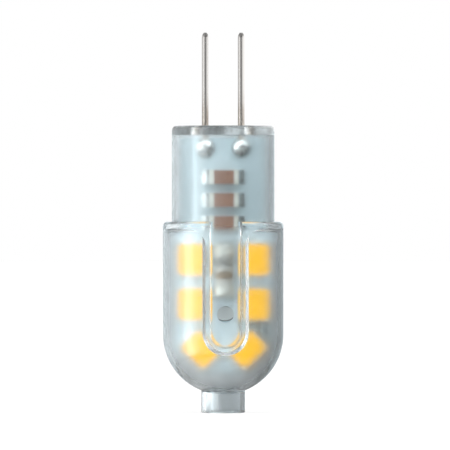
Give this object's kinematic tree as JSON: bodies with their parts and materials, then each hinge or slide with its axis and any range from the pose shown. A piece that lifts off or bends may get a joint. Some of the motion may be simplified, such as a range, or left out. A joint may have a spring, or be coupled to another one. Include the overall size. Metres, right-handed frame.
{
  "type": "bi-pin led bulb",
  "caption": "Small plug-in LED bulb: a clear split housing with a grooved dome, a neck and a nub, around a board of LED packages, with round contact pins at one end.",
  "frame": {"origin": "middle of the nub's end face, the lowest point of the bulb", "axes": "+Z along the bulb to the pin tips, +X from the left pin to the right one, -Y out of the front of the circuit board"},
  "size_m": [0.0134, 0.013, 0.0422],
  "materials": {
    "clear_housing": "clear polished plastic",
    "board": "white coated laminate",
    "pin_metal": "nickel plated wire",
    "solder": "bright solder",
    "led_frame": "white moulded plastic",
    "led_fill": "yellow phosphor silicone",
    "capacitor_ceramic": "brown ceramic",
    "resistor_ceramic": "black coated ceramic",
    "tinned_metal": "tinned",
    "fuse_lacquer": "grey-green lacquer",
    "rectifier_moulding": "black moulding"
  },
  "bodies": {
    "root": {"capacitor_body_1": "capacitor_ceramic", "capacitor_body_2": "capacitor_ceramic", "capacitor_body_3": "capacitor_ceramic", "capacitor_solder": "solder", "capacitor_terminals_1": "tinned_metal", "capacitor_terminals_2": "tinned_metal", "capacitor_terminals_3": "tinned_metal", "circuit_board": "board", "contact_pin_left": "pin_metal", "contact_pin_right": "pin_metal", "front_led_fill_1": "led_fill", "front_led_fill_2": "led_fill", "front_led_fill_3": "led_fill", "front_led_fill_4": "led_fill", "front_led_fill_5": "led_fill", "front_led_fill_6": "led_fill", "front_led_frame_1": "led_frame", "front_led_frame_2": "led_frame", "front_led_frame_3": "led_frame", "front_led_frame_4": "led_frame", "front_led_frame_5": "led_frame", "front_led_frame_6": "led_frame", "front_led_solder": "solder", "front_shell": "clear_housing", "fuse_body": "fuse_lacquer", "fuse_caps": "tinned_metal", "fuse_solder": "solder", "pin_solder_left": "solder", "pin_solder_right": "solder", "rear_led_fill_1": "led_fill", "rear_led_fill_2": "led_fill", "rear_led_fill_3": "led_fill", "rear_led_fill_4": "led_fill", "rear_led_fill_5": "led_fill", "rear_led_fill_6": "led_fill", "rear_led_frame_1": "led_frame", "rear_led_frame_2": "led_frame", "rear_led_frame_3": "led_frame", "rear_led_frame_4": "led_frame", "rear_led_frame_5": "led_frame", "rear_led_frame_6": "led_frame", "rear_led_solder": "solder", "rear_shell": "clear_housing", "rectifier_body": "rectifier_moulding", "rectifier_leads": "tinned_metal", "resistor_body_1": "resistor_ceramic", "resistor_body_2": "resistor_ceramic", "resistor_solder": "solder", "resistor_terminals_1": "tinned_metal", "resistor_terminals_2": "tinned_metal"}
  },
  "joints": []
}
